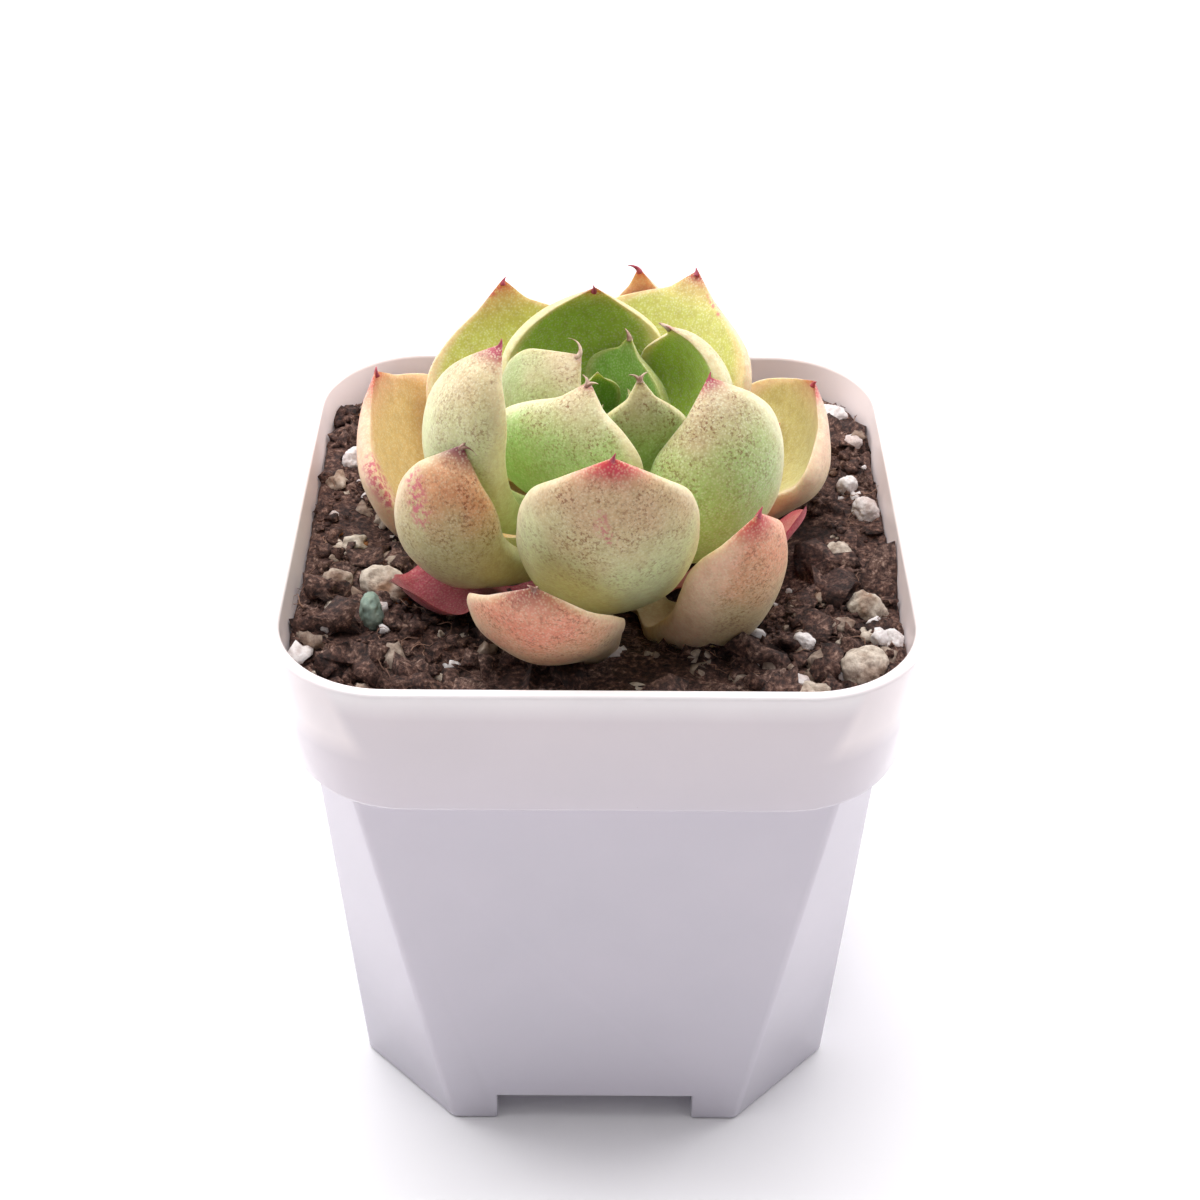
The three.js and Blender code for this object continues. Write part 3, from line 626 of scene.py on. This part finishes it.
# ---------------------------------------------------------------- stones
# The bigger loose stones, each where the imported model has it: popcorn-like perlite, porous
# pumice, chipped zeolite and plain brown grit. Each kind: its material, its slot, how deep its
# dents are and how closely they follow each other.
KINDS = {"perlite": (perlite, "perlite", 0.16, 1.5), "pumice": (pumice, "pumice", 0.17, 1.6),
         "zeolite": (zeolite, "zeolite", 0.1, 1.1), "brown": (grit, "grit", 0.16, 1.3),
         "tan": (pumice, "grit", 0.16, 1.3), "grit": (grit, "grit", 0.16, 1.3)}
for name, solid in sorted(frame["nodes"].items()):
    if not name.startswith("stone_"):
        continue
    material, slot, rough, pace = KINDS[name.split("_")[1]]
    low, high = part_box(name)
    middle = (Vector(low) + Vector(high)) / 2
    size = (Vector(high) - Vector(low)).length / 2 / math.sqrt(3)
    bm = bmesh.new()
    bm.from_mesh(solid.data)
    bmesh.ops.remove_doubles(bm, verts=bm.verts, dist=1e-6)
    bmesh.ops.subdivide_edges(bm, edges=bm.edges, cuts=5, use_grid_fill=True, smooth=0.6)
    bmesh.ops.recalc_face_normals(bm, faces=bm.faces)
    bm.normal_update()
    shift = middle / MM
    for vert in bm.verts:
        at = (vert.co - middle) / size
        fine_dent = noise.fractal(at * 3.4 + shift, 0.8, 2.2, 3) * rough * 0.45
        dent = noise.noise(at * pace + shift) * rough + fine_dent
        if slot in ("zeolite", "grit"):
            cell = noise.voronoi(at * 1.1 + shift)[0]
            dent += (cell[1] - cell[0]) * 0.16 - 0.06
        else:
            cell = noise.voronoi(at * 3.2 + shift)[0]
            dent -= max(0, 0.34 - cell[0]) * 0.22
        vert.co += vert.normal * dent * size
    stone = place_mesh(name.replace("stone_", "pebble_"), bm, material)
    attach(stone, "root")
    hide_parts(name)

# ---------------------------------------------------------------- stem
# The short neck that carries the rosette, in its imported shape, with dull brown skin mottled
# in flat streaks.
stem_skin, tree, shader = new_material("stem_skin")
rings = object_noise(tree, 500, 4, 0.6, (1, 1, 3))
brown = ramp(tree, rings, "Fac", [(0.35, rgb(110, 96, 62)), (0.65, rgb(160, 146, 98))])
link(tree, brown, "Color", shader, "Base Color")
shader.inputs["Roughness"].default_value = 0.7
bump(tree, shader, rings, "Fac", 0.5, 0.0004)
frame["nodes"]["stem"].data.materials.clear()
frame["nodes"]["stem"].data.materials.append(stem_skin)

# ---------------------------------------------------------------- leaves
# Thick pointed leaves, flat to dished above and full below, each drawn as a fair skin over its
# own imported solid. Waxy skin, flushed towards the margins and the dry crimson point.
# Colours: foot, back, shoulder, point, upper face and margin. Then how freckled the back is.
LEAF_TONES = {
    "leaf_front_low_left": ((214, 206, 168), (216, 196, 156), (232, 150, 122),
        (150, 70, 70), (222, 200, 160), (238, 210, 178), 0.8),
    "leaf_front_low_right": ((206, 202, 160), (212, 196, 152), (232, 158, 122),
        (196, 78, 84), (216, 192, 150), (236, 204, 174), 0.8),
    "leaf_front": ((212, 218, 168), (210, 220, 164), (216, 184, 142),
        (206, 62, 88), (184, 200, 124), (230, 214, 178), 0.85),
    "leaf_front_left": ((212, 214, 162), (210, 206, 152), (222, 160, 118),
        (110, 44, 64), (190, 194, 116), (228, 206, 168), 0.9),
    "leaf_left": ((232, 218, 182), (238, 214, 178), (240, 168, 132),
        (206, 96, 84), (222, 186, 118), (242, 206, 176), 0.15),
    "leaf_right": ((222, 216, 172), (232, 212, 172), (234, 188, 158),
        (202, 84, 90), (212, 202, 132), (240, 210, 182), 0.35),
    "leaf_back": ((214, 184, 148), (232, 190, 156), (236, 166, 142),
        (212, 80, 92), (222, 180, 142), (240, 202, 178), 0.1),
    "leaf_back_left": ((220, 216, 150), (230, 214, 160), (234, 168, 132),
        (210, 96, 96), (206, 206, 106), (246, 214, 186), 0.1),
    "leaf_back_right": ((220, 216, 150), (230, 214, 160), (232, 168, 130),
        (180, 50, 84), (206, 206, 112), (240, 208, 170), 0.1),
    "leaf_right_upper": ((186, 214, 132), (188, 216, 142), (206, 184, 148),
        (166, 40, 74), (182, 204, 120), (232, 224, 184), 0.9),
    "leaf_left_upper": ((208, 220, 156), (214, 222, 164), (216, 196, 154),
        (170, 46, 80), (184, 204, 120), (236, 224, 184), 0.7),
    "leaf_back_inner": ((190, 212, 104), (200, 216, 116), (206, 186, 124),
        (184, 82, 92), (186, 216, 96), (234, 218, 172), 0.1),
    "leaf_front_inner": ((176, 214, 128), (188, 218, 148), (214, 200, 164),
        (180, 96, 108), (176, 204, 112), (232, 216, 180), 0.85),
    "leaf_right_inner": ((206, 216, 156), (216, 216, 166), (220, 200, 164),
        (192, 120, 120), (196, 222, 98), (236, 218, 176), 0.5),
    "leaf_heart_left": ((150, 180, 98), (170, 184, 120), (204, 188, 150),
        (186, 142, 124), (150, 184, 78), (214, 200, 156), 0.7),
    "leaf_heart_back": ((120, 164, 84), (130, 170, 90), (160, 166, 106),
        (172, 134, 112), (132, 176, 74), (184, 186, 122), 0.3),
    "leaf_heart_front": ((150, 182, 106), (160, 186, 120), (186, 178, 136),
        (180, 140, 124), (140, 174, 76), (208, 196, 150), 0.9),
    "bud": ((140, 178, 86), (150, 184, 96), (178, 180, 122),
        (180, 146, 124), (136, 178, 72), (190, 192, 134), 0.4),
    "back_low": ((212, 194, 152), (222, 194, 156), (232, 166, 132),
        (208, 92, 84), (210, 188, 140), (236, 202, 172), 0.6),
    "withered_left": ((112, 40, 52), (150, 48, 66), (168, 62, 80),
        (112, 42, 46), (160, 62, 76), (196, 90, 102), 0.4),
    "withered_right": ((166, 84, 84), (214, 112, 118), (220, 96, 114),
        (180, 60, 84), (222, 132, 130), (208, 66, 96), 0.2),
    "withered_back": ((180, 110, 72), (212, 142, 98), (226, 140, 92),
        (190, 80, 60), (214, 150, 104), (230, 170, 130), 0.2),
}
# Marks rubbed into the wax, in millimetres: where each starts and ends, and its half width.
SCARS = {
    "leaf_left": ((-27.2, -0.2, 82.1), (-24.8, -2.8, 79.0), 2.2),
    "leaf_front_left": ((-20.6, -16.7, 90.9), (-19.7, -18.8, 87.7), 2.1),
    "leaf_front": ((0.4, -30.5, 95.4), (1.0, -30.5, 92.6), 0.9),
    "leaf_back_left": ((-16.2, 24.5, 88.5), (-12.7, 25.9, 92.9), 0.8),
    "leaf_right": ((22.3, 7.0, 77.0), (23.0, 11.1, 77.3), 0.7),
    "leaf_back_right": ((13.9, 19.7, 94.4), (14.8, 17.3, 93.8), 0.7),
}
AROUND, ALONG = 72, 60
SPOKES = 12
MIDDLE_RING = 4
SKIN_OVER = 0.012
POINT_TAPER = 1.7


def rings_of(solid):
    """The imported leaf's own corners: its foot, its rings from foot to point, and its point."""
    bm = bmesh.new()
    bm.from_mesh(solid.data)
    bmesh.ops.remove_doubles(bm, verts=bm.verts, dist=1e-6)
    ends = sorted((v for v in bm.verts if len(v.link_edges) == SPOKES), key=lambda v: v.co.z)
    foot, point = ends[0], ends[-1]
    seen, ring, rings = {point}, [point], []
    while True:
        fresh = {e.other_vert(v) for v in ring for e in v.link_edges} - seen
        if len(fresh) < 3:
            break
        seen |= fresh
        ring = [min(fresh, key=lambda v: v.index)]
        while len(ring) < len(fresh):
            ring.append(next(v for v in (e.other_vert(ring[-1]) for e in ring[-1].link_edges)
                             if v in fresh and v not in ring))
        rings.append(np.array([v.co[:] for v in ring]))
    foot, point = np.array(foot.co[:]), np.array(point.co[:])
    bm.free()
    rings.reverse()
    middle, half = rings[MIDDLE_RING], SPOKES // 2
    k = max(range(half), key=lambda i: np.linalg.norm(middle[i] - middle[i + half]))
    middle = np.roll(middle, -k, axis=0)
    inward = np.array((plant.x, plant.y, middle[:, 2].mean() + SKIN_OVER)) - middle.mean(0)
    if (middle[SPOKES // 4] - middle[-SPOKES // 4]) @ inward < 0:
        middle = middle[::-1]
        middle = np.roll(middle, 1, axis=0)
    rings[MIDDLE_RING] = middle
    for step in (1, -1):
        i = MIDDLE_RING
        while 0 <= i + step < len(rings):
            spokes = rings[i] - rings[i].mean(0)
            spokes /= np.linalg.norm(spokes, axis=1)[:, None]
            best = None
            for order in (rings[i + step], rings[i + step][::-1]):
                for turn in range(SPOKES):
                    tried = np.roll(order, turn, axis=0)
                    other = tried - tried.mean(0)
                    other /= np.linalg.norm(other, axis=1)[:, None]
                    score = (spokes * other).sum()
                    if best is None or score > best[0]:
                        best = (score, tried)
            rings[i + step] = best[1]
            i += step
    return foot, np.array(rings), point


def fair_skin(solid):
    """Even rings round the leaf from foot to point, their places along it, and their slopes."""
    foot, rings, point = rings_of(solid)
    turns = np.arange(AROUND) / AROUND * SPOKES
    low = np.floor(turns).astype(int)
    t = (turns - low)[None, :, None]
    a, b, c, d = (rings[:, (low + k) % SPOKES] for k in (-1, 0, 1, 2))
    square, cube = (2 * a - 5 * b + 4 * c - d) * t ** 2, (3 * b - a - 3 * c + d) * t ** 3
    round_rings = 0.5 * (2 * b + (c - a) * t + square + cube)
    first, last = (np.repeat(p[None, None], AROUND, 1) for p in (foot, point))
    knots = np.concatenate([first, round_rings, last])
    gaps = np.linalg.norm(np.diff(knots.mean(1), axis=0), axis=1)
    places = np.concatenate([[0], np.cumsum(gaps)])
    places /= places[-1]
    slopes = np.gradient(knots, places, axis=0)
    return knots, places, slopes


def skin_at(skin, share):
    """The ring at a share of the leaf's length, drawn in to a sharp point at the end."""
    knots, places, slopes = skin
    i = int(np.clip(np.searchsorted(places, share, side="right") - 1, 0, len(places) - 2))
    gap = places[i + 1] - places[i]
    t = (share - places[i]) / gap
    if i == len(places) - 2:
        sharp = (1 - t) ** POINT_TAPER
        return knots[-1] + (knots[-2] - knots[-1]) * sharp
    h00, h10 = 2 * t ** 3 - 3 * t ** 2 + 1, t ** 3 - 2 * t ** 2 + t
    h01, h11 = -2 * t ** 3 + 3 * t ** 2, t ** 3 - t ** 2
    return h00 * knots[i] + h10 * gap * slopes[i] + h01 * knots[i + 1] + h11 * gap * slopes[i + 1]


def leaf_wax(name, granules, dry=False):
    """Waxy skin. Its broad colours and its freckling come from the leaf, the grain from here."""
    material, tree, shader = new_material(name)
    tone = node(tree, "ShaderNodeVertexColor", layer_name="tone")
    place = node(tree, "ShaderNodeTexCoord")
    cells = node(tree, "ShaderNodeTexVoronoi", feature="F1")
    cells.inputs["Scale"].default_value = 3300
    link(tree, place, "Object", cells, "Vector")
    pale = ramp(tree, cells, "Distance", [(0.2, (granules,) * 3), (0.55, (0, 0, 0))])
    waxed = mix(tree, "MIX", (pale, "Color"), (tone, "Color"), rgb(238, 240, 206))
    dust = object_noise(tree, 2700, 4, 0.7)
    dots = ramp(tree, dust, "Fac", [(0.5, (0, 0, 0)), (0.6, (1, 1, 1))])
    patches = object_noise(tree, 330, 4, 0.65)
    where = ramp(tree, patches, "Fac", [(0.36, (0.12,) * 3), (0.6, (1, 1, 1))])
    spots = mix(tree, "MULTIPLY", 1.0, (dots, "Color"), (where, "Color"))
    amount = mix(tree, "MULTIPLY", 1.0, (spots, MIXED), (tone, "Alpha"))
    freckled = mix(tree, "MULTIPLY", (amount, MIXED), (waxed, MIXED), rgb(176, 132, 112))
    mottle = object_noise(tree, 900, 5, 0.65)
    veil = ramp(tree, mottle, "Fac", [(0.32, rgb(238, 232, 222)), (0.6, (1, 1, 1))])
    mottled = mix(tree, "MULTIPLY", 1.0, (freckled, MIXED), (veil, "Color"))
    scar = node(tree, "ShaderNodeVertexColor", layer_name="scar")
    flecks = object_noise(tree, 1500, 5, 0.7)
    patchy = ramp(tree, flecks, "Fac", [(0.47, (0, 0, 0)), (0.56, (0.85,) * 3)])
    rubbed = mix(tree, "MULTIPLY", 1.0, (patchy, "Color"), (scar, "Color"))
    scarred = mix(tree, "MIX", (rubbed, MIXED), (mottled, MIXED), rgb(206, 92, 116))
    link(tree, scarred, MIXED, shader, "Base Color")
    shader.inputs["Roughness"].default_value = 0.62 if dry else 0.46
    shader.inputs["Specular IOR Level"].default_value = 0.36
    shader.inputs["Subsurface Weight"].default_value = 0.05 if dry else 0.35
    shader.inputs["Subsurface Radius"].default_value = (1.0, 0.8, 0.35)
    shader.inputs["Subsurface Scale"].default_value = 0.0018
    shader.inputs["Sheen Weight"].default_value = 0.12
    shader.inputs["Sheen Roughness"].default_value = 0.5
    skin = object_noise(tree, 2600, 3, 0.6)
    bump(tree, shader, skin, "Fac", 0.5 if dry else 0.2, 0.0003)
    return material


wax = {"leaf_outer": leaf_wax("leaf_skin_outer", 0.3), "leaf_middle": leaf_wax("leaf_skin_middle", 0.45),
       "leaf_heart": leaf_wax("leaf_skin_heart", 0.2), "withered": leaf_wax("leaf_skin_dry", 0.1, True)}
slots = {part["node"]: part["material_slot"] for part in frame["record"]["subparts"]}


def smooth(low, high, value):
    """0 below low, 1 above high, and an even slope between."""
    t = np.clip((value - low) / (high - low), 0, 1)
    return t * t * (3 - 2 * t)


tips = {}
for name, solid in sorted(frame["nodes"].items()):
    if not name.startswith(("leaf_", "withered_")):
        continue
    key = "bud" if "_bud_" in name else "back_low" if "_back_low" in name else name
    foot, back, shoulder, tip, face, margin = (np.array(rgb(*c)) for c in LEAF_TONES[key][:6])
    freckles = LEAF_TONES[key][6]
    skin = fair_skin(solid)
    knots = skin[0]
    tip_at, before = Vector(knots[-1][0]), Vector(knots[-3].mean(0))
    wide = Vector(knots[-3][0] - knots[-3][AROUND // 2])
    run = (tip_at - before).normalized()
    tips[name] = (tip_at, run, (wide - run * wide.dot(run)).normalized())
    bm = bmesh.new()
    bmesh.ops.create_uvsphere(bm, u_segments=AROUND, v_segments=ALONG, radius=1)
    tones = bm.verts.layers.float_color.new("tone")
    marks = bm.verts.layers.float_color.new("scar")
    scar = [Vector(c) * MM for c in SCARS[name][:2]] if name in SCARS else None
    for vert in bm.verts:
        share = math.acos(max(-1, min(1, -vert.co.z))) / math.pi
        turn = math.atan2(vert.co.y, vert.co.x) % math.tau
        column = round(turn / math.tau * AROUND) % AROUND
        at = Vector(skin_at(skin, share)[column])
        wave = noise.noise(at / MM * 0.22) * 0.12 * MM
        drift = 0.06 * noise.noise(at / MM * 0.35)
        upper = smooth(-0.1, 0.3, math.sin(turn)) * smooth(0.08, 0.3, share)
        edge = smooth(0.72, 0.98, abs(math.cos(turn))) * smooth(0.3, 0.6, share)
        blush = smooth(0.7, 0.95, share + drift + 0.06 * (1 - abs(math.cos(turn))))
        tone = foot + (back - foot) * smooth(0.05, 0.4, share)
        tone = tone + (shoulder - tone) * blush
        tone = tone + (face + (shoulder - face) * smooth(0.8, 1.0, share) * 0.6 - tone) * upper
        rim = edge + (1 - edge) * smooth(0.86, 0.95, share) * 0.35
        tone = tone + (margin - tone) * rim * 0.8
        tone = tone + (tip - tone) * smooth(0.915, 0.965, share + drift * 0.2)
        freckling = freckles * smooth(0.45, 0.82, share + drift) * (1 - upper) * (1 - 0.8 * edge)
        vert[tones] = (*tone, freckling * (1 - smooth(0.93, 0.96, share)))
        mark = 0
        if scar:
            stroke = scar[1] - scar[0]
            near = scar[0] + stroke * max(0, min(1, (at - scar[0]).dot(stroke) / stroke.length_squared))
            mark = 1 - smooth(0.35, 1, (at - near).length / (SCARS[name][2] * MM))
        vert[marks] = (mark, mark, mark, 1)
        vert.co = at
        if 0.02 < share < 0.93:
            vert.co += Vector((0, 0, 1)) * wave
    # Recalculating leaves some skins facing inwards, so one with a negative volume is turned.
    bmesh.ops.recalc_face_normals(bm, faces=bm.faces)
    if bm.calc_volume(signed=True) < 0:
        bmesh.ops.reverse_faces(bm, faces=bm.faces)
    own_name = name.replace("leaf_", "blade_").replace("withered_", "dry_")
    leaf = place_mesh(own_name, bm, wax[slots[name]])
    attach(leaf, "root")
    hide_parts(name)

# ---------------------------------------------------------------- leaf points
# Each leaf ends in a small hard point: crimson on the grown leaves, and on some dried to a
# thin curling thread. Length in millimetres, then how far it curls, in degrees.
THREAD_ROOT = 0.8 * MM
POINTS = {
    "dry": {"leaf_front_left": ((1.2, 80), (0.8, 20)), "leaf_front_inner": ((0.8, 50), (0.7, -50)),
            "leaf_heart_left": ((2.2, -80), (0.9, -40)), "leaf_heart_front": ((0.8, -50), (0.7, 40)),
            "leaf_heart_back": ((0.8, 30),), "leaf_right_inner": ((0.8, 60),),
            "leaf_front_low_left": ((0.4, 20), (0.4, -40))},
    "red": {"leaf_front": ((0.7, 10),), "leaf_front_low_right": ((0.8, 10),),
            "leaf_left_upper": ((0.4, 30),), "leaf_right_upper": ((0.5, 20),),
            "leaf_back": ((1.0, 50),), "leaf_back_right": ((0.4, -20),),
            "leaf_back_left": ((0.3, 20),), "leaf_left": ((0.4, 30),),
            "leaf_right": ((0.4, -30),), "leaf_back_inner": ((0.4, 20),)},
}
for kind, leaves in POINTS.items():
    thread, tree, shader = new_material(f"leaf_point_{kind}")
    hue = object_noise(tree, 900, 3)
    stops = ((150, 44, 66), (196, 84, 100)) if kind == "red" else ((136, 92, 78), (214, 186, 164))
    shade = ramp(tree, hue, "Fac", [(0.4, rgb(*stops[0])), (0.6, rgb(*stops[1]))])
    link(tree, shade, "Color", shader, "Base Color")
    shader.inputs["Roughness"].default_value = 0.55
    bm = bmesh.new()
    for name, threads in leaves.items():
        tip, along, across = tips[name]
        for length, curl in threads:
            whole = length * MM + THREAD_ROOT
            made = bmesh.ops.create_cone(bm, cap_ends=True, segments=8, radius1=0.42 * MM,
                                         radius2=0.06 * MM, depth=whole)["verts"]
            edges = {edge for vert in made for edge in vert.link_edges}
            sides = [e for e in edges if abs(e.verts[0].co.z - e.verts[1].co.z) > length * MM / 2]
            bmesh.ops.subdivide_edges(bm, edges=sides, cuts=9)
            for vert in [v for v in bm.verts if not v.tag]:
                vert.tag = True
                t = (vert.co.z + whole / 2) / whole
                bend = math.radians(curl) * t
                way = along * math.cos(bend) + across * math.sin(bend)
                side = across * math.cos(bend) - along * math.sin(bend)
                vert.co = (tip - along * THREAD_ROOT + way * t * whole
                           + side * vert.co.x * (1 - 0.3 * t) + along.cross(across) * vert.co.y)
    bmesh.ops.recalc_face_normals(bm, faces=bm.faces)
    hard = place_mesh(f"leaf_points_{kind}", bm, thread)
    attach(hard, "root")
